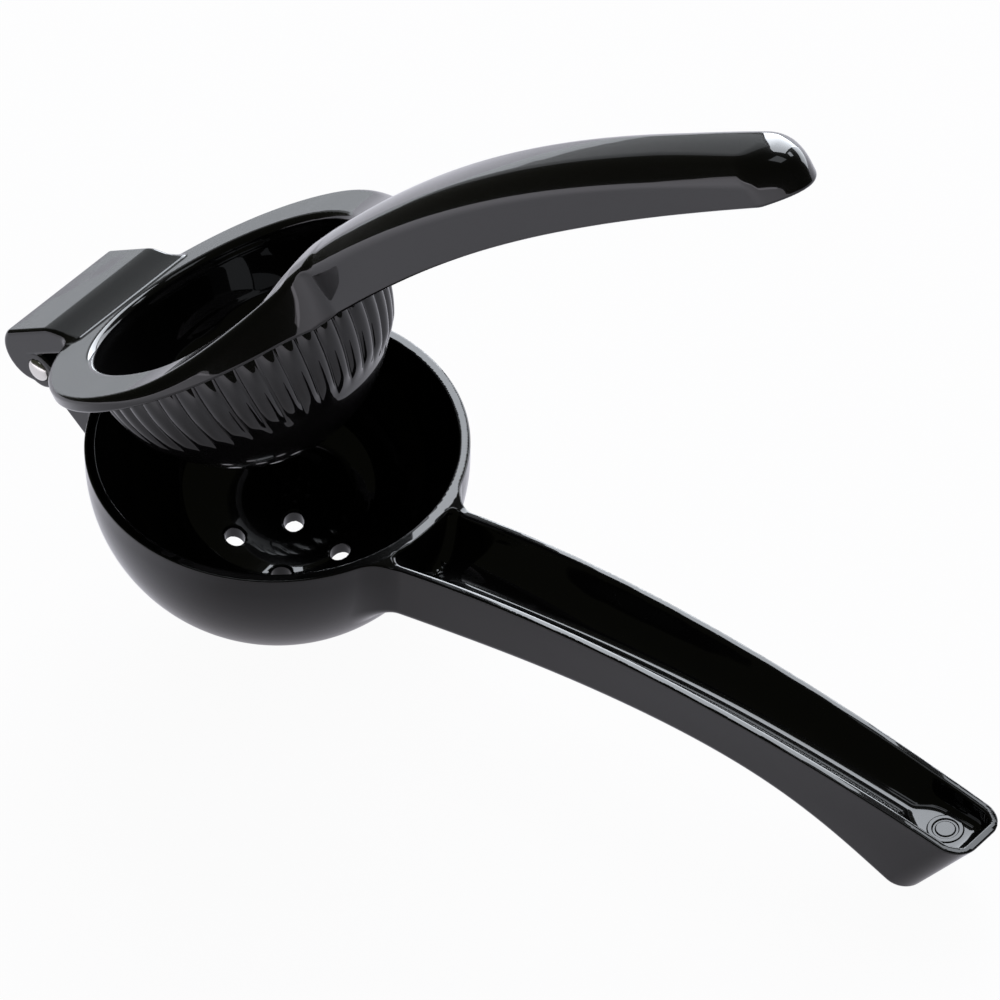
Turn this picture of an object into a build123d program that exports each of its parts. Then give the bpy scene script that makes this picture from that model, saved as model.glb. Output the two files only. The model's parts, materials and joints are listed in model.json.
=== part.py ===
from build123d import *
from math import asin, atan2, cos, degrees, hypot, pi, sin, sqrt
import os

# Hinged lemon squeezer. Lengths are in millimetres and angles in degrees.
#
# Each casting is drawn with the bowl level: X runs from the hinge to the handle ends,
# Z is up, and the centre of the bowl's rim is the origin. The press arm is drawn closed
# over the bowl and then opened about the hinge. At the end everything is set down as it
# stands on a table, on the flat under the bowl and the heel of the lower handle, with
# the origin under the middle of the whole squeezer.
#
# Places along the handles are distances beyond the outside of the bowl. Heights are
# measured from the rim of the bowl.

# Bowl
BOWL_RADIUS = 38.0
BOWL_WALL = 2.2
BOWL_FLOOR = 3.2
BOWL_SKIRT = 3.4
RIM_ROUNDING = 0.7
REST_FLAT_DIAMETER = 14.0

# Strainer: one hole in the middle and a ring of holes round it
STRAINER_HOLE_DIAMETER = 4.1
STRAINER_RING_RADIUS = 12.5
STRAINER_RING_COUNT = 6

# Lower handle, an open channel that ends in a heel
LOWER_REACH = 138.5
LOWER_END_HEIGHT = 13.2
LOWER_ROOT_TOP = -2.85
LOWER_ROOT_BOTTOM = -15.9
LOWER_TOP_BENDS = ((42.0, 12.75), (88.8, 16.4))
LOWER_UNDER_BENDS = ((88.4, 13.5), (104.1, 0.7))
HEEL_SETBACK = 12.7
HEEL_HEIGHT = -6.0
HEEL_LEAD = 1.8
HEEL_RISE = 0.55
HEEL_ROUNDING = 2.5
LOWER_ROOT_WIDTH = 20.4
LOWER_END_WIDTH = 13.4
LOWER_EDGE_ROUNDING = 2.0
CHANNEL_LAND = 1.6
CHANNEL_ROOT_DEPTH = 8.0
CHANNEL_MIDDLE_DEPTH = 9.0
CHANNEL_END_DEPTH = 4.7
CHANNEL_END_WALL = 3.2
NECK_WALL = 3.0
HANDLE_BURY = 5.0

# Hinge
HINGE_REACH = 12.0
HINGE_DROP = 1.6
HINGE_WIDTH = 31.0
PIN_DIAMETER = 5.0
PIN_DOME = 1.0
PIN_RUNNING_CLEARANCE = 0.05
EAR_RADIUS = 4.5
KNUCKLE_RADIUS = 5.2
KNUCKLE_WIDTH = 17.6
KNUCKLE_SIDE_GAP = 0.35
KNUCKLE_BRIDGE_GAP = 0.8
EAR_SWEEP_RADIUS = 7.6
LUG_FOOT_REACH = 5.7
LUG_FOOT_DROP = 5.6
LUG_ROOT_DROP = 14.6
OPEN_ANGLE = 35.6

# Hinge block of the press arm, with the arm closed
BLOCK_TOP = 7.6
BLOCK_CREASE_REACH = 1.8
BLOCK_BACK = 7.9
BLOCK_BACK_HEIGHT = 2.6
BLOCK_BACK_EDGE = 4.0
BLOCK_TOE_BACK = 5.1
BLOCK_TOE_DROP = 1.9

# Flange ring of the press arm, with the arm closed
FLANGE_OVERHANG = 0.8
FLANGE_GAP = 1.6
FLANGE_THICKNESS = 3.1
FLANGE_RAMP_START = 8.0
FLANGE_RAMP_RISE = 8.1
FLANGE_SLOPE_REACH = 7.0
FLARE_REACH = 8.5
FLARE_WIDTH = 18.4
FLARE_ROUNDING = 5.0
FLARE_TOP = 13.0

# Press cup
PEEL_ROOM = 4.8
CUP_WALL = 1.5
RIB_COUNT = 42
RIB_DEPTH = 1.0
RIB_CREST = 0.9
RIB_END_DEPTH = 17.0

# Upper handle, a solid bar, with the arm closed
UPPER_REACH = 141.0
UPPER_END_TOP = 27.7
UPPER_END_BOTTOM = 19.0
UPPER_END_BULGE = 2.0
UPPER_ROOT_TOP = 13.1
UPPER_ROOT_BOTTOM = -0.5
UPPER_TOP_BENDS = ((49.8, 30.8), (92.1, 30.5))
UPPER_UNDER_BENDS = ((39.2, 13.7), (71.7, 19.8))
UPPER_ROOT_WIDTH = 18.2
UPPER_END_WIDTH = 13.0
UPPER_SHOULDER_DEPTH = 3.4
UPPER_SHOULDER_INSET = 2.6

# Spare length of cutting tools and of stock that is trimmed away
SPARE = 1.0

bowl_inner_radius = BOWL_RADIUS - BOWL_WALL
bowl_inner_skirt = BOWL_SKIRT + BOWL_WALL - BOWL_FLOOR
bowl_depth = BOWL_SKIRT + BOWL_RADIUS
flange_radius = BOWL_RADIUS + FLANGE_OVERHANG
flange_top = FLANGE_GAP + FLANGE_THICKNESS
cup_radius = bowl_inner_radius - PEEL_ROOM
cup_inner_radius = cup_radius - RIB_DEPTH - CUP_WALL
pin_radius = PIN_DIAMETER / 2
pivot = (-BOWL_RADIUS - HINGE_REACH, -HINGE_DROP)
hinge_axis = Axis((pivot[0], 0, pivot[1]), (0, -1, 0))
arm_height = 2 * (bowl_depth + UPPER_END_TOP)


def beyond(points):
    """Move (distance, height) points of a handle out from the bowl's outside."""
    return [(BOWL_RADIUS + distance, height) for distance, height in points]


def slab(outline, width):
    """Thicken a closed side outline in X and Z evenly about the middle plane."""
    return Pos(0, width / 2, 0) * extrude(Plane.XZ * make_face(outline), width)


def turned(outline):
    """Turn a closed outline in X and Z round the bowl's axis."""
    return revolve(Plane.XZ * make_face(outline), Axis.Z)


def upright(plan):
    """Extrude a plan outline up and down past everything."""
    return Pos(0, 0, -arm_height) * extrude(plan, 2 * arm_height)


def round_bar(radius, length, centre):
    """A bar along Y, centred on the middle plane."""
    return Pos(centre[0], 0, centre[1]) * Rot(90, 0, 0) * Cylinder(radius, length)


def tapered_plan(start, end, start_width, end_width):
    """A plan outline with straight sides that runs along X."""
    corners = [
        (start, -start_width / 2),
        (end, -end_width / 2),
        (end, end_width / 2),
        (start, start_width / 2),
    ]
    return upright(make_face(Polyline(corners, close=True)))


def width_at(distance, reach, root_width, end_width):
    """Width of a handle that tapers evenly from the bowl's outside to its end."""
    return root_width + (end_width - root_width) * distance / reach


def domed(radius, skirt, top):
    """A round-bottomed form: a half sphere under a straight wall that ends at the top."""
    outline = (
        Line((0, top), (0, -skirt - radius))
        + RadiusArc((0, -skirt - radius), (radius, -skirt), -radius)
        + Polyline((radius, -skirt), (radius, top), (0, top))
    )
    return turned(outline)


def bowl_shell():
    """The bowl without its hollow: skirt, half sphere and rounded rim."""
    blank = domed(BOWL_RADIUS, BOWL_SKIRT, 0)
    rim = blank.faces().sort_by(Axis.Z)[-1].edges()
    return fillet(rim, RIM_ROUNDING)


def lower_side():
    """Side outline of the lower handle, from inside the bowl wall to its end."""
    start = -HANDLE_BURY
    heel = LOWER_REACH - HEEL_SETBACK
    top = beyond([(start, LOWER_ROOT_TOP), *LOWER_TOP_BENDS, (LOWER_REACH, LOWER_END_HEIGHT)])
    lead = (heel - HEEL_LEAD, HEEL_HEIGHT + HEEL_RISE)
    under = beyond([(start, LOWER_ROOT_BOTTOM), *LOWER_UNDER_BENDS, lead])
    toe = beyond([(heel, HEEL_HEIGHT)])[0]
    outline = (
        Bezier(*top)
        + Polyline(top[-1], toe, under[-1])
        + Bezier(*under)
        + Line(under[0], top[0])
    )
    face = make_face(outline)
    toe_corner = face.vertices().sort_by_distance(toe)[0]
    return fillet(toe_corner, HEEL_ROUNDING)


def lower_handle():
    """The lower handle as a solid bar with rounded lower edges."""
    width = 2 * LOWER_ROOT_WIDTH
    side = Pos(0, width / 2, 0) * extrude(Plane.XZ * lower_side(), width)
    start = -HANDLE_BURY - SPARE
    end = LOWER_REACH + SPARE
    taper = (LOWER_REACH, LOWER_ROOT_WIDTH, LOWER_END_WIDTH)
    plan = tapered_plan(
        BOWL_RADIUS + start, BOWL_RADIUS + end, width_at(start, *taper), width_at(end, *taper)
    )
    bar = side & plan
    long_edges = bar.edges().sort_by(SortBy.LENGTH)[-4:]
    return fillet(long_edges.sort_by(Axis.Z)[:2], LOWER_EDGE_ROUNDING)


def channel():
    """The space inside the lower handle's channel, open at the top."""
    start = (-HANDLE_BURY, LOWER_ROOT_TOP - CHANNEL_ROOT_DEPTH)
    end = (LOWER_REACH, LOWER_END_HEIGHT - CHANNEL_END_DEPTH)
    bends = [(distance, height - CHANNEL_MIDDLE_DEPTH) for distance, height in LOWER_TOP_BENDS]
    floor = beyond([start, *bends, end])
    roof = max(LOWER_END_HEIGHT, LOWER_TOP_BENDS[1][1]) + SPARE
    outline = Bezier(*floor) + Polyline(floor[-1], (floor[-1][0], roof), (floor[0][0], roof), floor[0])
    side = slab(outline, LOWER_ROOT_WIDTH)
    end_distance = LOWER_REACH - CHANNEL_END_WALL
    taper = (LOWER_REACH, LOWER_ROOT_WIDTH - 2 * CHANNEL_LAND, LOWER_END_WIDTH - 2 * CHANNEL_LAND)
    plan = tapered_plan(
        BOWL_RADIUS - HANDLE_BURY,
        BOWL_RADIUS + end_distance,
        width_at(-HANDLE_BURY, *taper),
        width_at(end_distance, *taper),
    )
    neck = Cylinder(bowl_inner_radius + NECK_WALL, arm_height)
    return (side & plan) - neck


def lug():
    """The hinge lug on the bowl's back, as wide as the hinge, with its central knuckle."""
    foot = (pivot[0] + LUG_FOOT_REACH, pivot[1] - LUG_FOOT_DROP)
    inside = -bowl_inner_radius + SPARE
    body = Polyline(
        [(inside, 0), (pivot[0], 0), pivot, foot, (inside, -LUG_ROOT_DROP)],
        close=True,
    )
    wide = slab(body, HINGE_WIDTH) - round_bar(EAR_SWEEP_RADIUS, HINGE_WIDTH + SPARE, pivot)
    narrow = slab(body, KNUCKLE_WIDTH) + round_bar(KNUCKLE_RADIUS, KNUCKLE_WIDTH, pivot)
    return wide + narrow


def strainer_holes():
    """Upright holes through the bowl's floor."""
    spots = [(0, 0)]
    for index in range(STRAINER_RING_COUNT):
        angle = 2 * pi * index / STRAINER_RING_COUNT
        spots.append((STRAINER_RING_RADIUS * cos(angle), STRAINER_RING_RADIUS * sin(angle)))
    drill = Pos(0, 0, -bowl_depth) * Cylinder(STRAINER_HOLE_DIAMETER / 2, BOWL_RADIUS)
    return [Pos(x, y, 0) * drill for x, y in spots]


def heel_centre():
    """Centre of the heel's rounding, in X and Z."""
    toe = beyond([(LOWER_REACH - HEEL_SETBACK, HEEL_HEIGHT)])[0]
    back = atan2(HEEL_RISE, -HEEL_LEAD)
    up = atan2(LOWER_END_HEIGHT - HEEL_HEIGHT, HEEL_SETBACK)
    middle = (back + up) / 2
    distance = HEEL_ROUNDING / sin((back - up) / 2)
    return (toe[0] + distance * cos(middle), toe[1] + distance * sin(middle))


def stance():
    """Tilt about Y that stands the bowl's flat and the heel on one level, and that level."""
    flat_level = sqrt(BOWL_RADIUS**2 - (REST_FLAT_DIAMETER / 2) ** 2)
    heel = heel_centre()
    run = heel[0]
    rise = heel[1] + BOWL_SKIRT
    tilt = asin((flat_level - HEEL_ROUNDING) / hypot(run, rise)) + atan2(rise, run)
    level = -BOWL_SKIRT * cos(tilt) - flat_level
    return degrees(tilt), level


def table(tilt, level):
    """Everything below the level that the squeezer stands on, in the bowl's own frame."""
    depth = BOWL_RADIUS
    block = Pos(0, 0, level - depth / 2) * Box(BOWL_RADIUS, BOWL_RADIUS, depth)
    return Rot(0, -tilt, 0) * block


def bowl_arm(tilt, level):
    """Bowl, hinge lug and lower handle in one casting."""
    casting = bowl_shell() + lower_handle() + lug()
    casting -= channel()
    casting -= domed(bowl_inner_radius, bowl_inner_skirt, arm_height)
    casting -= round_bar(pin_radius + PIN_RUNNING_CLEARANCE, HINGE_WIDTH, pivot)
    casting -= table(tilt, level)
    for hole in strainer_holes():
        casting -= hole
    return casting


def flange_side():
    """Side outline of the flange ring: a level land that ramps up to the handle."""
    ramp_run = flange_radius - FLANGE_RAMP_START
    end = BOWL_RADIUS + FLARE_REACH
    bend = ((FLANGE_RAMP_START + flange_radius) / 2, flange_top)
    ramp_end = (flange_radius, flange_top + FLANGE_RAMP_RISE)
    back = -flange_radius - SPARE
    return (
        Polyline((end, FLARE_TOP), (end, FLANGE_GAP), (back, FLANGE_GAP), (back, flange_top),
                 (FLANGE_RAMP_START, flange_top))
        + Bezier((flange_radius - ramp_run, flange_top), bend, ramp_end)
        + Line(ramp_end, (end, FLARE_TOP))
    )


def flange():
    """Flange ring with the flares that lead into the handle, before the cup's mouth."""
    end = BOWL_RADIUS + FLARE_REACH
    half = FLARE_WIDTH / 2
    plan = Circle(flange_radius) + make_face(
        Polyline([(0, -half), (end, -half), (end, half), (0, half)], close=True)
    )
    crossing_x = sqrt(flange_radius**2 - half**2)
    corners = []
    for side in (-1, 1):
        corners.append(plan.vertices().sort_by_distance((crossing_x, side * half))[0])
    plan = fillet(corners, FLARE_ROUNDING)
    return slab(flange_side(), 2 * flange_radius + SPARE) & upright(plan)


def block():
    """Hinge block of the press arm, with an ear at each end round the pin."""
    px, pz = pivot
    crease = -BOWL_RADIUS - BLOCK_CREASE_REACH
    slope_end = -flange_radius + FLANGE_SLOPE_REACH
    back_top = (px - BLOCK_BACK_EDGE, BLOCK_TOP)
    back = (px - BLOCK_BACK, pz + BLOCK_BACK_HEIGHT)
    toe = (px - BLOCK_TOE_BACK, pz - BLOCK_TOE_DROP)
    ear_bottom = (px, pz - EAR_RADIUS)
    outline = (
        Polyline((px, FLANGE_GAP), (slope_end, FLANGE_GAP), (slope_end, flange_top),
                 (crease, BLOCK_TOP), back_top)
        + ThreePointArc(back_top, back, toe)
        + Polyline(toe, ear_bottom, (px, FLANGE_GAP))
    )
    body = slab(outline, HINGE_WIDTH) + round_bar(EAR_RADIUS, HINGE_WIDTH, pivot)
    slot_width = KNUCKLE_WIDTH + 2 * KNUCKLE_SIDE_GAP
    slot = round_bar(KNUCKLE_RADIUS + KNUCKLE_BRIDGE_GAP, slot_width, pivot)
    below = Box(2 * HINGE_REACH, slot_width, 2 * HINGE_REACH)
    return body - slot - Pos(px, 0, pz - HINGE_REACH) * below


def upper_handle():
    """The upper handle: a solid bar with sloping shoulders and a rounded end."""
    start = -HANDLE_BURY
    top = beyond([(start, UPPER_ROOT_TOP), *UPPER_TOP_BENDS, (UPPER_REACH, UPPER_END_TOP)])
    under = beyond([(start, UPPER_ROOT_BOTTOM), *UPPER_UNDER_BENDS, (UPPER_REACH, UPPER_END_BOTTOM)])
    bulge = (top[-1][0] + UPPER_END_BULGE, (UPPER_END_TOP + UPPER_END_BOTTOM) / 2)
    outline = (
        Bezier(*top)
        + ThreePointArc(top[-1], bulge, under[-1])
        + Bezier(*under)
        + Line(under[0], top[0])
    )
    side = slab(outline, 2 * UPPER_ROOT_WIDTH)
    end = UPPER_REACH + UPPER_END_BULGE + SPARE
    taper = (UPPER_REACH, UPPER_ROOT_WIDTH, UPPER_END_WIDTH)
    plan = tapered_plan(
        BOWL_RADIUS + start - SPARE,
        BOWL_RADIUS + end,
        width_at(start - SPARE, *taper),
        width_at(end, *taper),
    )
    bar = side & plan
    top_face = bar.faces().sort_by(Axis.Z)[-1]
    long_edges = bar.edges().sort_by(SortBy.LENGTH)[-4:].sort_by(Axis.Z)[2:]
    return chamfer(long_edges, UPPER_SHOULDER_DEPTH, UPPER_SHOULDER_INSET, reference=top_face)


def cup_blank():
    """The press cup's outside, from the flange down, with the flutes still to be cut."""
    return domed(cup_radius, 0, FLANGE_GAP + FLANGE_THICKNESS / 2)


def cup_hollow():
    """The press cup's inside and its mouth through the flange."""
    return domed(cup_inner_radius, 0, arm_height)


def flutes():
    """Grooves between the ribs: each follows a meridian and runs out above the bottom."""
    end_radius = sqrt(cup_radius**2 - RIB_END_DEPTH**2)
    valley = cup_radius - RIB_DEPTH
    # The groove's valley is an arc about a point on the cup's level, through the valley
    # at the top and the cup's surface at RIB_END_DEPTH.
    centre = (valley**2 - end_radius**2 - RIB_END_DEPTH**2) / (2 * (valley - end_radius))
    sweep = degrees(atan2(RIB_END_DEPTH, end_radius - centre))
    pitch = 2 * pi * cup_radius / RIB_COUNT
    half_width = (pitch - RIB_CREST) / 2
    spread = (RIB_DEPTH + SPARE) / RIB_DEPTH
    profile = Polyline(
        [(valley, 0), (valley + RIB_DEPTH * spread, half_width * spread),
         (valley + RIB_DEPTH * spread, -half_width * spread)],
        close=True,
    )
    about = Axis((centre, 0, 0), (0, 1, 0))
    groove = revolve(make_face(profile), about, sweep)
    lead = extrude(make_face(profile), FLANGE_GAP)
    return [Rot(0, 0, 360 * index / RIB_COUNT) * (groove + lead) for index in range(RIB_COUNT)]


def press_arm():
    """Hinge block, flange, press cup and upper handle in one casting, drawn closed."""
    casting = flange() + block() + upper_handle()
    trim = Pos(0, 0, FLANGE_GAP - arm_height / 2) * Cylinder(flange_radius, arm_height)
    casting -= trim
    fluted_cup = cup_blank()
    for flute in flutes():
        fluted_cup -= flute
    casting += fluted_cup
    casting -= cup_hollow()
    casting -= round_bar(pin_radius, HINGE_WIDTH + SPARE, pivot)
    return casting


def hinge_pin():
    """Steel pin with a shallow dome on each end, pressed into the ears."""
    half = HINGE_WIDTH / 2
    tip = half + PIN_DOME
    dome_radius = (pin_radius**2 + PIN_DOME**2) / (2 * PIN_DOME)
    outline = (
        Line((0, -tip), (0, tip))
        + RadiusArc((0, tip), (pin_radius, half), dome_radius)
        + Line((pin_radius, half), (pin_radius, -half))
        + RadiusArc((pin_radius, -half), (0, -tip), dome_radius)
    )
    pin = revolve(make_face(outline), Axis.Y)
    return Pos(pivot[0], 0, pivot[1]) * pin


def main():
    """Build the three pieces, set them down on the table and write one STEP each."""
    tilt, level = stance()
    opened = {"press_arm": press_arm(), "hinge_pin": hinge_pin()}
    pieces = {"bowl_arm": bowl_arm(tilt, level)}
    for name, piece in opened.items():
        pieces[name] = piece.rotate(hinge_axis, OPEN_ANGLE)
    tilted = Rot(0, tilt, 0)
    whole = Compound([tilted * piece for piece in pieces.values()]).bounding_box()
    set_down = Pos(-whole.center().X, 0, -level) * tilted
    os.makedirs("parts", exist_ok=True)
    for name, piece in pieces.items():
        placed = set_down * piece
        placed.label = name
        export_step(placed, "parts/" + name + ".step")
    hinge = set_down * Pos(pivot[0], 0, pivot[1])
    flat = set_down * Pos(0, 0, -BOWL_SKIRT)
    print("tilt", round(tilt, 4), "hinge at", hinge.position, "flat under", flat.position)
    print("rim centre at", set_down.position, "whole box", whole.size)


main()
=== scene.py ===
"""Hinged lemon squeezer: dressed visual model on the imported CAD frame.

The two castings are signed distance functions in millimetres, drawn in part.py's working
frame: bowl level, press arm closed, the rim's centre at the origin, +X towards the handle
ends. Both are even in y. They are meshed here and set down on the frame.
"""
import json
import math

import bmesh
import bpy
import numpy as np
from mathutils import Matrix, Vector


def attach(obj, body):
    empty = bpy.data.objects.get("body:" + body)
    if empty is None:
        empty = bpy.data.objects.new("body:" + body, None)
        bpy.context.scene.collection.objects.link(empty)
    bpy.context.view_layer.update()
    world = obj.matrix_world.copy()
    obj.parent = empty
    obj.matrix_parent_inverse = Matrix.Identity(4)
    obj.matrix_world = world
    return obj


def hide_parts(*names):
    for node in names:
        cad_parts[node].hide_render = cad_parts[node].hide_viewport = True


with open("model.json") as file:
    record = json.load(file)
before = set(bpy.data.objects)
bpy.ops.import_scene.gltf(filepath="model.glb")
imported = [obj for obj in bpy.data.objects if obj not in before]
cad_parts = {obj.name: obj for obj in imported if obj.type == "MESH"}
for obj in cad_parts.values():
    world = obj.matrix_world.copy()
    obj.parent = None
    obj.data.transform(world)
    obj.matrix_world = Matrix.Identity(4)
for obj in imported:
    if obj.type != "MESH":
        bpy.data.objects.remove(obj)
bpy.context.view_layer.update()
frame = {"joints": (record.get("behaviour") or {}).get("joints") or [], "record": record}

# ---------------------------------------------------------------- sizes in millimetres
PIVOT = (-50.0, -1.6)                # hinge axis, as x and z
OPEN_ANGLE = math.radians(35.6)      # the press arm's opening at rest

BOWL_R, BOWL_DROP = 38.0, 3.4        # outside, and how far its sphere's centre is below the rim
HOLLOW_R, HOLLOW_DROP = 35.8, 2.4    # the same for the inside
FLAT_R = 7.0                         # rest flat under the bowl
FLAT_DEPTH = math.sqrt(BOWL_R**2 - FLAT_R**2)
HOLE_R, HOLE_RING = 2.05, 12.5       # strainer holes: one in the middle and six round it
HOLES = [(0.0, 0.0)] + [             # those with y of 0 or more; the others are their mirror
    (HOLE_RING * math.cos(k * math.pi / 3), HOLE_RING * math.sin(k * math.pi / 3))
    for k in range(4)
]

PIN_R, BORE_R = 2.5, 2.55
BLOCK_HALF = 15.5                    # half the width of the hinge block and of the lug's root
KNUCKLE_R, KNUCKLE_HALF = 5.2, 8.8
KNUCKLE_TOP_R = 5.4                  # the knuckle stands above the level top inside this
KNUCKLE_ROOM = 7.6                   # radius kept free for the ears at the lug's root
LUG_CORNER = (-44.3, -7.2)
SLOT_R, SLOT_HALF = 6.0, 9.15        # room for the knuckle in the hinge block
EAR_R = 4.5

BLOCK_TOP, BLOCK_END = 7.6, -31.8
BACK = ((-54.0, 7.6), (-57.86, 1.0), (-55.1, -3.5))    # the hinge block's rounded back

RING_R, RING_TOP, RING_UNDER = 38.8, 4.7, 1.6
RAMP_START, RAMP_BEND = 8, 0.0085    # the ring's top rises towards the handle
LINING_R, CUP_HOLLOW_R = 29.4, 28.5

HANDLE_START = 20                    # both handles begin inside the bowl and the ring
LOWER_END = (176.5, 13.2)            # the lower handle's end at the top, and its heel
LOWER_HEEL = (163.8, -6)
LOWER_TAPER = (10.6, 3.5, 138.5)     # half width at the bowl, what it loses, over what length
UPPER_TAPER = (9.6, 2.5, 141)
CHANNEL_WALL, CHANNEL_END = 1.65, 174.4
TIP_X = 185.2                        # the upper handle's domed tip

# ---------------------------------------------------------------- frames
joint = frame["joints"][0]
hinge = Vector(joint["pos_m"])
rest = next(m for m in frame["record"]["mounts"] if m["name"] == "rest_flat")
centre = Vector((rest["pos_m"][0], 0.0, FLAT_DEPTH / 1000))
arm = hinge - centre
TILT = math.atan2(arm.z, -arm.x) - math.atan2(PIVOT[1] + BOWL_DROP, -PIVOT[0])


def placing(open_angle=0.0):
    """Matrix from a casting's working frame in millimetres to the row frame in metres."""
    return (
        Matrix.Translation(hinge)
        @ Matrix.Rotation(TILT - open_angle, 4, "Y")
        @ Matrix.Scale(0.001, 4)
        @ Matrix.Translation((-PIVOT[0], 0.0, -PIVOT[1]))
    )


BOWL_FRAME = placing()
PRESS_FRAME = placing(OPEN_ANGLE)


# ---------------------------------------------------------------- distance functions
def meet(a, b, r):
    """Intersection of two solids with its outside edge rounded to radius r."""
    return np.minimum(-r, np.maximum(a, b)) + np.hypot(np.maximum(a + r, 0), np.maximum(b + r, 0))


def join(a, b, r):
    """Union of two solids with the inside corner filled to radius r."""
    return np.maximum(r, np.minimum(a, b)) - np.hypot(np.maximum(r - a, 0), np.maximum(r - b, 0))


def cut(a, b, r):
    """a without b, with the edge rounded to radius r."""
    return meet(a, -b, r)


def step(x, a, b):
    """Smooth step from 0 at a to 1 at b."""
    t = np.clip((x - a) / (b - a), 0, 1)
    return t * t * (3 - 2 * t)


class Curve:
    """Height over x of a cubic Bezier in the side view, carried on straight past its ends."""

    def __init__(self, *control):
        p = np.array(control, float)
        t = np.linspace(0, 1, 300)[:, None]
        q = (
            (1 - t) ** 3 * p[0] + 3 * t * (1 - t) ** 2 * p[1]
            + 3 * t * t * (1 - t) * p[2] + t**3 * p[3]
        )
        self.lo, self.hi = p[0, 0], p[3, 0]
        self.height = np.polynomial.Polynomial.fit(q[:, 0], q[:, 1], 7)
        self.slope = self.height.deriv()

    def at(self, x):
        """Height and slope at x."""
        c = np.clip(x, self.lo, self.hi)
        s = self.slope(c)
        return self.height(c) + s * (x - c), s

    def above(self, x, z):
        """Distance above the curve."""
        h, s = self.at(x)
        return (z - h) / np.sqrt(1 + s * s)


def beyond(x, z, a, b):
    """Distance outside the straight line from a to b; outside is on the left of the walk."""
    dx, dz = b[0] - a[0], b[1] - a[1]
    n = math.hypot(dx, dz)
    return ((x - a[0]) * -dz + (z - a[1]) * dx) / n


def circle_through(a, b, c):
    """Centre and radius of the circle through three points."""
    m = np.array([
        [2 * (b[0] - a[0]), 2 * (b[1] - a[1])],
        [2 * (c[0] - a[0]), 2 * (c[1] - a[1])],
    ])
    v = np.array([
        b[0] ** 2 + b[1] ** 2 - a[0] ** 2 - a[1] ** 2,
        c[0] ** 2 + c[1] ** 2 - a[0] ** 2 - a[1] ** 2,
    ])
    o = np.linalg.solve(m, v)
    return o[0], o[1], math.hypot(a[0] - o[0], a[1] - o[1])


def half_width(x, at_bowl, loss, length):
    """Half the width of a handle that narrows evenly from the bowl's edge."""
    return at_bowl - loss * (x - BOWL_R) / length


LOWER_TOP = Curve((33, -2.85), (80, 13.15), (126.8, 16.8), LOWER_END)
LOWER_UNDER = Curve((33, -15.9), (126.4, 12.9), (142.1, 0.5), (162, -5.45))
LOWER_FLOOR = Curve((33, -10.6), (88, 3.0), (113, 9.9), (176.5, 9.2))
UPPER_TOP = Curve((33, 13.1), (87.8, 30.9), (130.1, 31.5), (179, 27.7))
UPPER_UNDER = Curve((33, -0.5), (77.2, 13.0), (109.7, 19.3), (179, 18.5))
BACK_X, BACK_Z, BACK_R = circle_through(*BACK)


def bowl_casting(x, y, z):
    """Bowl, hinge lug and lower handle."""
    y = np.abs(y)
    rho = np.hypot(x, y)
    around = np.hypot(x - PIVOT[0], z - PIVOT[1])
    outer = np.hypot(rho, np.minimum(z + BOWL_DROP, 0)) - BOWL_R

    # handle bar, without a top until the common top surface cuts it
    half = half_width(x, *LOWER_TAPER)
    end = beyond(x, z, LOWER_END, LOWER_HEEL)
    bar = meet(meet(y - half, end, r=4.5), -LOWER_UNDER.above(x, z), r=1.5)
    body = join(outer, np.maximum(bar, HANDLE_START - x), r=5.0)

    # hinge lug: a wide root that leaves room for the ears, and a neck with the knuckle
    foot = beyond(x, z, (-34.8, -14.6), LUG_CORNER)
    face = beyond(x, z, LUG_CORNER, PIVOT)
    below = np.maximum(np.maximum(foot, face), x + 26)
    wide = meet(meet(below, y - BLOCK_HALF, r=0.8), KNUCKLE_ROOM - around, r=0.6)
    neck = meet(meet(below, PIVOT[0] - x, r=0.5), y - KNUCKLE_HALF, r=0.6)
    neck = np.minimum(neck, meet(around - KNUCKLE_R, y - KNUCKLE_HALF, r=0.6))
    body = join(body, join(wide, neck, r=1.0), r=2.0)

    # common top: level on the bowl and lug, the handle's own curve beyond the neck
    h, s = LOWER_TOP.at(x)
    w = step(rho, 38.2, 42.5) * step(x, 26, 35)
    top = (z - w * h) / np.sqrt(1 + (w * s) ** 2)
    body = meet(body, np.minimum(top, around - KNUCKLE_TOP_R), r=0.4)

    # channel: a round trough that turns square near its end, open towards the bowl's wall
    depth = h - LOWER_FLOOR.at(x)[0] - 0.035 * np.maximum(x - 160, 0)
    reach = half - CHANNEL_WALL
    power = 2 + 5 * step(x, 158.5, 165)
    across = np.minimum(y / reach, 1.4)
    slope = depth * power * across ** (power - 1) / reach
    dish = (h - z - depth * (1 - across**power)) / np.sqrt(1 + slope * slope)
    mouth = np.maximum(38.6 - rho + 0.25 * np.maximum(h - z, 0), 25 - x)
    trough = meet(meet(dish, x - CHANNEL_END, r=3.2), mouth, r=2.5)
    body = cut(body, trough, r=0.5)

    # hollow, holes, bore and rest flat
    hollow = np.hypot(rho, np.minimum(z + HOLLOW_DROP, 0)) - HOLLOW_R
    body = cut(body, hollow, r=0.4)
    for hole_x, hole_y in HOLES:
        hole = np.maximum(np.hypot(x - hole_x, y - hole_y) - HOLE_R, z + 20)
        body = cut(body, hole, r=0.4)
    body = cut(body, around - BORE_R, r=0.2)
    level = -x * math.sin(TILT) + z * math.cos(TILT)
    under = -BOWL_DROP * math.cos(TILT) - FLAT_DEPTH - level
    return meet(body, under, r=0.3)


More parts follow.
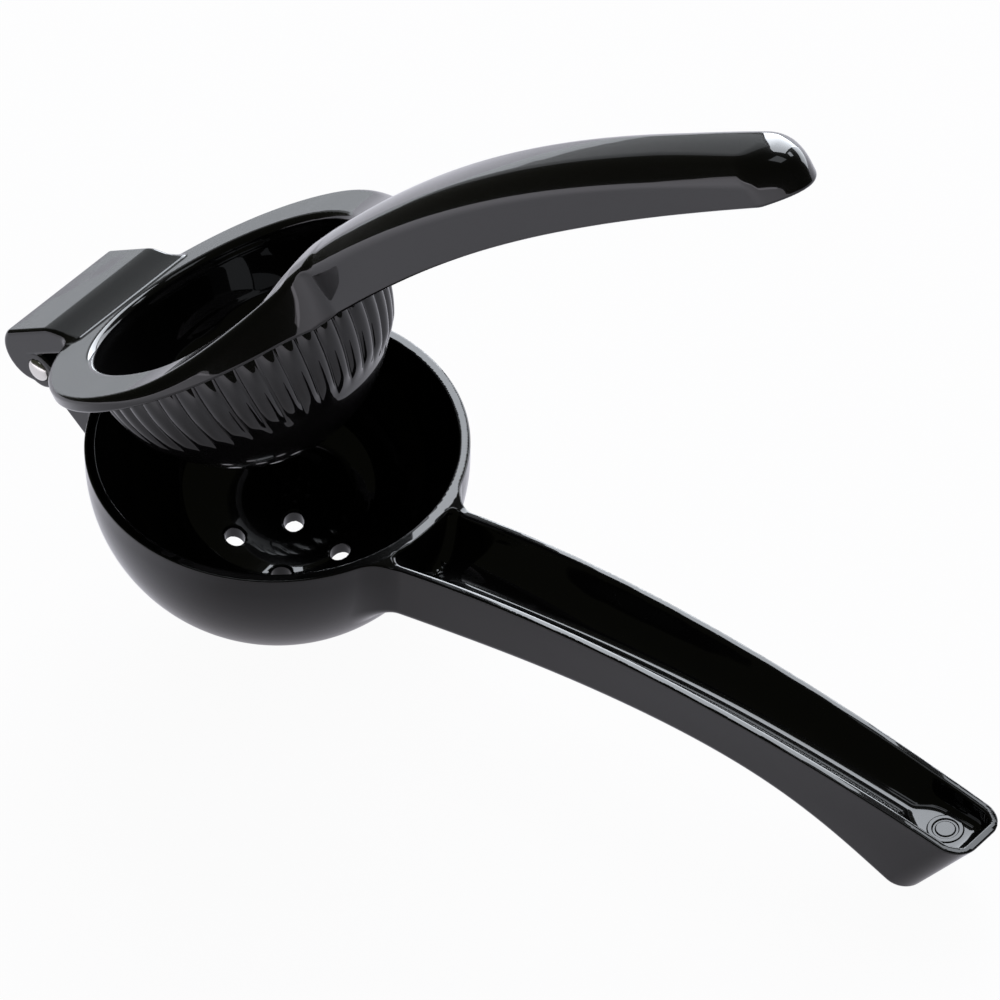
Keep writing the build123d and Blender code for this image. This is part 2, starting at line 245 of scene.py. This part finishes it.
def press_casting(x, y, z):
    """Hinge block, flange ring, the press cup's lining and the upper handle, closed."""
    y = np.abs(y)
    rho = np.hypot(x, y)
    around = np.hypot(x - PIVOT[0], z - PIVOT[1])

    # ring and handle stand on one wall, slightly crowned, filleted in plan where they meet
    side = y - half_width(x, *UPPER_TAPER)
    ring_wall = rho - RING_R + 0.01 * np.clip(z - RING_UNDER, 0, 11) ** 2
    wall = join(ring_wall, np.maximum(side, HANDLE_START - x), r=9.0)

    # ring top, ramping up towards the handle
    h, s = UPPER_TOP.at(x)
    ramp = np.maximum(x - RAMP_START, 0)
    land = RING_TOP + RAMP_BEND * ramp**2
    land = np.where(x > 33, np.minimum(land, h - 2.4), land)
    rise = 2 * RAMP_BEND * np.minimum(ramp, 28)
    ring_top = meet((z - land) / np.sqrt(1 + rise**2), rho - 44.5, r=1.0)

    # handle top: crowned, with a bevelled shoulder on each side
    crown = (z - h + y * y / (44 + 40 * step(x, 60, 150))) / np.sqrt(1 + s * s)
    lift = land + 0.5 * np.maximum(rho - 30, 0)
    crown = meet(crown, (z - lift) / 1.25, r=1.5)
    drop = 1.2 + 2.6 * step(x, 28, 52)
    inset = 0.6 + 2.6 * step(x, 30, 58) - 1.0 * step(x, 150, 179)
    shoulder = ((side + inset) * drop + (z - h) * inset) / np.hypot(drop, inset)
    handle_top = np.maximum(meet(crown, shoulder, r=1.3), 24 - x)
    top = join(ring_top, handle_top, r=2.5)
    edge = 0.9 + 2.1 * step(x, -5, 28) - 2.2 * step(x, 33, 44)
    body = meet(wall, top, edge)

    # domed tip, bowed in plan and over the top, and the underside
    aside, over = np.minimum(y, 8), np.clip(z - 20, 0, 9)
    bow = x - TIP_X + 0.14 * aside**2 + 0.014 * over**3
    end = bow / np.sqrt(1 + (0.28 * aside) ** 2 + (0.039 * over**2) ** 2)
    body = meet(body, end, r=0.7)
    body = meet(body, np.maximum(RING_UNDER - z, -UPPER_UNDER.above(x, z)), r=0.7)

    # hinge block with its ears
    slope = beyond(x, z, (-39.8, BLOCK_TOP), (BLOCK_END, RING_TOP))
    roof = meet(z - BLOCK_TOP, slope, r=0.6)
    arc = np.hypot(x - BACK_X, z - BACK_Z) - BACK_R
    arc = np.where(x < PIVOT[0], arc, -9.0)
    toe = beyond(x, z, (PIVOT[0], -6.1), BACK[2])
    lower = np.minimum(RING_UNDER - z, np.maximum(x - PIVOT[0], toe))
    lump = np.maximum(np.maximum(roof, arc), np.maximum(lower, x - BLOCK_END))
    lump = np.minimum(lump, around - EAR_R)
    lump = meet(lump, y - BLOCK_HALF, r=0.9)
    under_pin = np.maximum(z - PIVOT[1], np.abs(x - PIVOT[0]) - 12)
    slot = np.maximum(y - SLOT_HALF, np.minimum(around - SLOT_R, under_pin))
    lump = cut(lump, slot, r=0.4)
    body = join(body, lump, r=1.6)

    # cup lining, mouth and bore
    ball = np.hypot(rho, np.minimum(z, 0))
    body = np.minimum(body, np.maximum(ball - LINING_R, z - 3))
    lip = 0.15 + 1.35 * step(z, 1.5, 4.0)
    body = meet(body, CUP_HOLLOW_R + 0.3 * step(z, 1.0, 3.5) - ball, lip)
    return cut(body, around - PIN_R, r=0.1)


# ---------------------------------------------------------------- meshing
def gradient(f, p, eps):
    """Gradient of f at each point, by central differences."""
    g = np.empty_like(p)
    for k in range(3):
        d = np.zeros(3)
        d[k] = eps
        a, b = p + d, p - d
        g[:, k] = (f(a[:, 0], a[:, 1], a[:, 2]) - f(b[:, 0], b[:, 1], b[:, 2])) / (2 * eps)
    return g


def settle(f, p, steps=4, longest_step=0.3, longest_way=0.6):
    """Move points onto the surface and return them with the surface's normals."""
    tiny = 1e-9
    start = p.copy()
    for _ in range(steps):
        g = gradient(f, p, 0.02)
        d = f(p[:, 0], p[:, 1], p[:, 2])
        move = -(d / np.maximum((g * g).sum(1), 0.2))[:, None] * g
        length = np.linalg.norm(move, axis=1, keepdims=True)
        p = p + move * np.minimum(1, longest_step / np.maximum(length, tiny))
    away = p - start
    length = np.linalg.norm(away, axis=1, keepdims=True)
    p = start + away * np.minimum(1, longest_way / np.maximum(length, tiny))
    n = gradient(f, p, 0.08)
    return p, n / np.maximum(np.linalg.norm(n, axis=1, keepdims=True), tiny)


def surface_net(f, low, high, cell, slab=24):
    """Quads over the zero of f, which is even in y, from a grid filled in slabs along x."""
    nx, nz = [int(math.ceil((high[k] - low[k]) / cell[k])) + 1 for k in (0, 2)]
    half = int(math.ceil(high[1] / cell[1])) + 1
    xs = low[0] + cell[0] * np.arange(nx)
    ys = cell[1] * np.arange(-half, half + 1)
    zs = low[2] + cell[2] * np.arange(nz)
    field = np.empty((nx, len(ys), nz), np.float32)
    y_half = ys[half:][None, :, None]
    for i in range(0, nx, slab):
        d = f(xs[i:i + slab, None, None], y_half, zs[None, None, :])
        d = np.broadcast_to(d, (len(xs[i:i + slab]), half + 1, nz))
        field[i:i + slab, half:] = d
        field[i:i + slab, :half + 1] = d[:, ::-1]
    inside = field < 0
    c = inside.astype(np.int8)
    total = sum(
        c[a:c.shape[0] - 1 + a, b:c.shape[1] - 1 + b, d:c.shape[2] - 1 + d]
        for a in (0, 1) for b in (0, 1) for d in (0, 1)
    )
    active = (total > 0) & (total < 8)
    number = np.full(active.shape, -1, np.int32)
    cells = np.argwhere(active)
    number[tuple(cells.T)] = np.arange(len(cells))

    # first place of each vertex: the mean of the crossings on its cell's edges
    place = np.zeros((len(cells), 3))
    count = np.zeros(len(cells))
    for axis in range(3):
        others = [a for a in range(3) if a != axis]
        for u in (0, 1):
            for v in (0, 1):
                a = [q.copy() for q in cells.T]
                a[others[0]] += u
                a[others[1]] += v
                b = [q.copy() for q in a]
                b[axis] += 1
                fa, fb = field[tuple(a)], field[tuple(b)]
                hit = (fa < 0) != (fb < 0)
                t = np.where(hit, fa / np.where(hit, fa - fb, 1), 0)
                q = np.stack(a, 1).astype(float)
                q[:, axis] += t
                place[hit] += q[hit]
                count[hit] += 1
    place /= count[:, None]
    points = place * np.array(cell) + np.array([low[0], -half * cell[1], low[2]])

    # quads round each crossed edge
    faces = []
    for axis, u, v in ((0, 1, 2), (1, 2, 0), (2, 0, 1)):
        a = np.moveaxis(inside, (axis, u, v), (0, 1, 2))
        m = np.moveaxis(number, (axis, u, v), (0, 1, 2))
        first, second = a[:-1, 1:-1, 1:-1], a[1:, 1:-1, 1:-1]
        p, q, r = np.argwhere(first != second).T
        quad = np.stack([m[p, q, r], m[p, q + 1, r], m[p, q + 1, r + 1], m[p, q, r + 1]], 1)
        flip = second[p, q, r]
        quad[flip] = quad[flip][:, ::-1]
        faces.append(quad)
    return points, np.concatenate(faces)


def link_object(name, data):
    obj = bpy.data.objects.new(name, data)
    bpy.context.scene.collection.objects.link(obj)
    return obj


def mesh_object(name, points, faces, normals, matrix):
    """Smooth mesh, shaded from the normals where they are given, placed in the row frame."""
    m = np.array(matrix)
    co = points @ m[:3, :3].T + m[:3, 3]
    turn = m[:3, :3] * 1000
    mesh = bpy.data.meshes.new(name)
    mesh.vertices.add(len(co))
    mesh.vertices.foreach_set("co", co.astype(np.float32).ravel())
    mesh.loops.add(faces.size)
    mesh.loops.foreach_set("vertex_index", faces.astype(np.int32).ravel())
    mesh.polygons.add(len(faces))
    starts = np.arange(0, faces.size, faces.shape[1], dtype=np.int32)
    mesh.polygons.foreach_set("loop_start", starts)
    mesh.update(calc_edges=True)
    mesh.polygons.foreach_set("use_smooth", np.ones(len(faces), bool))
    if normals is not None:
        mesh.normals_split_custom_set_from_vertices((normals @ turn.T).astype(np.float32))
    return link_object(name, mesh)


def casting(f, low, high, matrix):
    """Mesh object of one casting, named after its function."""
    cell = ((0.5, 0.3, 0.3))
    points, faces = surface_net(f, low, high, cell)
    points, normals = settle(f, points)
    return mesh_object(f.__name__, points, faces, normals, matrix)


def ribbed_cup():
    """The fluted outside of the press cup: 42 ribs that run out above a smooth bottom."""
    ribs, per_rib, rows = 42, 12, 110
    outer_r, inner_r, crest, groove, rim = 30.4, 28.95, 0.62, 1.0, 2.4
    around = ribs * per_rib
    u = np.arange(per_rib) / per_rib - 0.5
    profile = np.tile(crest - groove * np.abs(2 * u) ** 2.2, ribs)
    phi = np.arange(around) * 2 * math.pi / around

    def level(r, z0, c, s):
        return np.stack([r * c * np.cos(phi), r * c * np.sin(phi), np.full(around, z0) + r * s], 1)

    # each level: its base height, and the cosine and sine of its angle below the rim
    grid = [(z, 1.0, 0.0) for z in np.linspace(rim, 0, 6)[:-1]]
    grid += [(0.0, math.cos(a), -math.sin(a)) for a in np.linspace(0, math.pi / 2, rows)[:-1]]
    levels = []
    for z0, c, s in grid:
        fade = float(step(np.array(31 * s), -18.2, -13.5))
        levels.append(level(outer_r + fade * profile, z0, c, s))
    levels += [level(inner_r, z0, c, s) for z0, c, s in reversed(grid)]
    points = np.concatenate(levels + [np.array([[0, 0, -outer_r], [0, 0, -inner_r]])])

    # quads between the levels, round the rim too, but not between the two rings at the poles
    last = len(grid) - 1
    a = np.arange(around)
    b = (a + 1) % around
    faces = []
    for k in range(len(levels)):
        n = (k + 1) % len(levels)
        if k != last:
            faces.append(np.stack(
                [k * around + a, n * around + a, n * around + b, k * around + b], 1))
    obj = mesh_object("press_cup_ribs", points, np.concatenate(faces), None, PRESS_FRAME)

    # a fan of triangles closes each pole
    bm = bmesh.new()
    bm.from_mesh(obj.data)
    bm.verts.ensure_lookup_table()
    for ring, pole, turn in ((last, len(points) - 2, 1), (last + 1, len(points) - 1, -1)):
        for i in range(around):
            corners = (ring * around + i, pole, ring * around + (i + 1) % around)
            bm.faces.new([bm.verts[q] for q in corners][::turn]).smooth = True
    bmesh.ops.recalc_face_normals(bm, faces=bm.faces)
    bm.to_mesh(obj.data)
    bm.free()
    return obj


def turned(name, line, segments, matrix):
    """Turned body about z; line is (radius, height) from its upper pole to its lower one."""
    phi = np.arange(segments) * 2 * math.pi / segments
    rings = [
        np.stack([r * np.cos(phi), r * np.sin(phi), np.full(segments, h)], 1)
        for r, h in line[1:-1]
    ]
    points = np.concatenate([[[0, 0, line[0][1]]]] + rings + [[[0, 0, line[-1][1]]]])
    starts = [1 + k * segments for k in range(len(rings))]
    faces = []
    for i in range(segments):
        j = (i + 1) % segments
        faces.append((0, 1 + i, 1 + j))
        for a, b in zip(starts, starts[1:]):
            faces.append((a + i, b + i, b + j, a + j))
        faces.append((starts[-1] + i, len(points) - 1, starts[-1] + j))
    mesh = bpy.data.meshes.new(name)
    mesh.from_pydata([tuple(matrix @ Vector(p)) for p in points], [], faces)
    mesh.update()
    for poly in mesh.polygons:
        poly.use_smooth = True
    return link_object(name, mesh)


def pin():
    """Hinge pin with a domed, slightly flattened head at each end."""
    right = []
    for k in range(15):
        a = k / 14 * math.pi / 2
        right.append((PIN_R * math.sin(a), 15.5 + 0.98 * math.cos(a) ** 1.2))
    right += [(PIN_R, 15.2), (2.46, 15.0), (2.46, 12.0), (PIN_R, 11.8), (PIN_R, 0.0)]
    line = right + [(r, -h) for r, h in reversed(right[:-1])]
    seat = (
        PRESS_FRAME
        @ Matrix.Translation((PIVOT[0], 0, PIVOT[1]))
        @ Matrix.Rotation(math.radians(-90), 4, "X")
    )
    return turned("hinge_pin_turned", line, 48, seat)


def pad():
    """Round pad in the channel's end, with a shallow groove."""
    line = [(0, 0.2), (0.8, 0.2), (1.72, 0.2), (1.8, 0.2), (1.95, 0.12), (2.05, -0.05)]
    line += [(2.2, -0.1), (2.35, -0.05), (2.45, 0.12), (2.6, 0.2), (2.68, 0.2), (3.25, 0.2)]
    line += [(3.33, 0.2), (3.5, 0.12), (3.58, -0.05), (3.6, -0.15), (3.6, -1.0), (0, -1.0)]
    seat = (
        BOWL_FRAME
        @ Matrix.Translation((167.3, 0, 9.5))
        @ Matrix.Rotation(math.radians(-1.5), 4, "Y")
    )
    return turned("channel_pad", line, 72, seat)


bowl = casting(bowl_casting, (-57.3, -41.3, -43.1), (178.3, 41.3, 19.2), BOWL_FRAME)
press = casting(press_casting, (-60.3, -41.3, -31.1), (187.3, 41.3, 32.2), PRESS_FRAME)
cup = ribbed_cup()
steel_pin = pin()
channel_pad = pad()


# ---------------------------------------------------------------- materials
def set_inputs(node, values):
    for socket, value in values.items():
        node.inputs[socket].default_value = value


def node_material(name):
    mat = bpy.data.materials.new(name)
    mat.use_nodes = True
    return mat, mat.node_tree.nodes, mat.node_tree.links


def enamel():
    """Gloss black enamel over a casting: deep black, clear coat, slightly uneven surface."""
    mat, nodes, links = node_material("black_enamel_gloss")
    shader = nodes["Principled BSDF"]
    set_inputs(shader, {
        "Base Color": (0.0035, 0.0033, 0.0034, 1),
        "Roughness": 0.28,
        "Specular IOR Level": 0.04,
        "Coat Weight": 1.0,
        "Coat IOR": 1.5,
        "Coat Roughness": 0.03,
    })
    place = nodes.new("ShaderNodeTexCoord")
    wave = nodes.new("ShaderNodeTexNoise")
    set_inputs(wave, {"Scale": 60, "Detail": 2})
    links.new(place.outputs["Object"], wave.inputs["Vector"])
    bump = nodes.new("ShaderNodeBump")
    set_inputs(bump, {"Strength": 0.06, "Distance": 0.001})
    links.new(wave.outputs["Fac"], bump.inputs["Height"])
    links.new(bump.outputs["Normal"], shader.inputs["Normal"])
    links.new(bump.outputs["Normal"], shader.inputs["Coat Normal"])
    return mat


def steel():
    """Bright steel of the pin's heads."""
    mat, nodes, _ = node_material("pin_steel_bright")
    set_inputs(nodes["Principled BSDF"], {
        "Base Color": (0.86, 0.84, 0.80, 1),
        "Metallic": 1.0,
        "Roughness": 0.16,
    })
    return mat


ENAMEL, STEEL = enamel(), steel()
for obj, body, slot_name, mat, node in (
    (bowl, "bowl_arm", "black_enamel", ENAMEL, "bowl_arm"),
    (press, "press_arm", "black_enamel", ENAMEL, "press_arm"),
    (channel_pad, "bowl_arm", "black_enamel", ENAMEL, "bowl_arm"),
    (cup, "press_arm", "black_enamel", ENAMEL, "press_arm"),
    (steel_pin, "press_arm", "pin_steel", STEEL, "hinge_pin"),
):
    obj.data.materials.append(mat)
    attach(obj, body)
    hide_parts(node)


# ---------------------------------------------------------------- stage and world
def floor():
    """White floor: lit and shadowed for reflections, almost plain white for the camera."""
    west, east, south, north = -0.85, 0.95, -2.5, 5.0
    corners = [(west, south, 0), (east, south, 0), (east, north, 0), (west, north, 0)]
    mesh = bpy.data.meshes.new("floor")
    mesh.from_pydata(corners, [], [(0, 1, 2, 3)])
    obj = link_object("floor", mesh)
    mat, nodes, links = node_material("floor_white")
    nodes.clear()

    # what reflections and light see: a pale floor that glows more in front of the object
    diffuse = nodes.new("ShaderNodeBsdfDiffuse")
    set_inputs(diffuse, {"Color": (0.6, 0.585, 0.615, 1)})
    fill = nodes.new("ShaderNodeEmission")
    set_inputs(fill, {"Color": (1.0, 0.97, 1.05, 1)})
    place = nodes.new("ShaderNodeTexCoord")
    parts = nodes.new("ShaderNodeSeparateXYZ")
    front = nodes.new("ShaderNodeMapRange")
    front.interpolation_type = "SMOOTHSTEP"
    set_inputs(front, {"From Min": -0.1, "From Max": -0.4, "To Min": 0.35, "To Max": 1.1})
    links.new(place.outputs["Object"], parts.inputs[0])
    links.new(parts.outputs["Y"], front.inputs["Value"])
    links.new(front.outputs["Result"], fill.inputs["Strength"])
    lit = nodes.new("ShaderNodeAddShader")
    links.new(diffuse.outputs[0], lit.inputs[0])
    links.new(fill.outputs[0], lit.inputs[1])

    # what the camera sees: mostly plain white, with a trace of the object's shadow
    glow = nodes.new("ShaderNodeEmission")
    set_inputs(glow, {"Strength": 1.0})
    path = nodes.new("ShaderNodeLightPath")
    share = nodes.new("ShaderNodeMath")
    share.operation = "MULTIPLY"
    share.inputs[1].default_value = 0.94
    links.new(path.outputs["Is Camera Ray"], share.inputs[0])
    mix = nodes.new("ShaderNodeMixShader")
    links.new(share.outputs[0], mix.inputs["Fac"])
    links.new(lit.outputs[0], mix.inputs[1])
    links.new(glow.outputs[0], mix.inputs[2])
    out = nodes.new("ShaderNodeOutputMaterial")
    links.new(mix.outputs[0], out.inputs["Surface"])
    obj.data.materials.append(mat)


def studio_world():
    """A dark room for reflections and light, which is white for the camera."""
    world = bpy.data.worlds.new("studio")
    bpy.context.scene.world = world
    world.use_nodes = True
    nodes, links = world.node_tree.nodes, world.node_tree.links
    nodes.clear()
    out = nodes.new("ShaderNodeOutputWorld")
    background = nodes.new("ShaderNodeBackground")
    path = nodes.new("ShaderNodeLightPath")
    mix = nodes.new("ShaderNodeMix")
    mix.data_type = "RGBA"
    set_inputs(mix, {"A": (0.04, 0.041, 0.03, 1), "B": (1, 1, 1, 1)})
    links.new(path.outputs["Is Camera Ray"], mix.inputs["Factor"])
    links.new(mix.outputs["Result"], background.inputs["Color"])
    links.new(background.outputs[0], out.inputs["Surface"])


floor()
studio_world()


# ---------------------------------------------------------------- lights
def softbox(name, azimuth, distance, low, high, width, radiance, tint=(0.95, 1.0, 1.07)):
    """Upright studio light seen from the object at that azimuth (from +X towards +Y)."""
    light = bpy.data.lights.new(name, "AREA")
    light.color = tint
    light.shape = "RECTANGLE"
    light.size, light.size_y = width, high - low
    light.energy = radiance * math.pi * width * (high - low)
    obj = link_object(name, light)
    t = math.radians(azimuth)
    d = Vector((math.cos(t), math.sin(t), 0))
    obj.location = Vector((-0.03, 0, 0)) + d * distance + Vector((0, 0, (low + high) / 2))
    obj.rotation_mode = "QUATERNION"
    obj.rotation_quaternion = (-d).to_track_quat("-Z", "Y")
    return obj


softbox("key_behind", 123.3, 3.0, 0.05, 5.2, 1.68, 6.6)
softbox("strip_behind_right", 84, 1.25, 0.03, 0.65, 1.0, 4.0)
softbox("card_front_left", -98, 1.2, -0.05, 0.06, 1.9, 1.15, (1.0, 0.96, 1.05))
softbox("backdrop_behind_left", 152, 1.3, 0.06, 0.98, 0.6, 0.3)
softbox("horizon_behind_left", 151, 1.25, -0.08, 0.06, 0.7, 0.95)
softbox("tip_card", 69, 0.29, 0.43, 0.57, 0.11, 4.2)
overhead = softbox("overhead", 0, 0.03, 1.3, 1.85, 0.55, 1.2)
overhead.rotation_quaternion = (1, 0, 0, 0)    # this one faces straight down


# ---------------------------------------------------------------- camera
def photo_camera():
    """Camera fitted to the photograph in the bowl's working frame, set down with the bowl."""
    azimuth, elevation, roll = (math.radians(v) for v in (40.8, 46.42, 0.08))
    distance, right_by, up_by = 1480.8, 43.8, -11.67    # millimetres
    focal, frame_width, sensor = 7529.7, 1000, 36       # pixels, pixels and millimetres
    back = Vector((
        math.sin(azimuth) * math.cos(elevation),
        -math.cos(azimuth) * math.cos(elevation),
        math.sin(elevation),
    ))
    level_right = Vector((math.cos(azimuth), math.sin(azimuth), 0))
    level_up = back.cross(level_right)
    right = level_right * math.cos(roll) + level_up * math.sin(roll)
    up = level_up * math.cos(roll) - level_right * math.sin(roll)
    facing = Matrix.Identity(4)
    for k, axis in enumerate((right, up, back)):
        for i in range(3):
            facing[i][k] = axis[i]
    spot = back * distance + right * right_by + up * up_by
    data = bpy.data.cameras.new("camera")
    data.sensor_width = sensor
    data.lens = focal / frame_width * sensor
    data.clip_start, data.clip_end = 0.1, 50
    camera = link_object("camera", data)
    turn = Matrix.Rotation(TILT, 4, "Y")
    camera.matrix_world = Matrix.Translation(BOWL_FRAME @ spot) @ turn @ facing
    bpy.context.scene.camera = camera


photo_camera()
bpy.context.scene.view_settings.view_transform = "Standard"
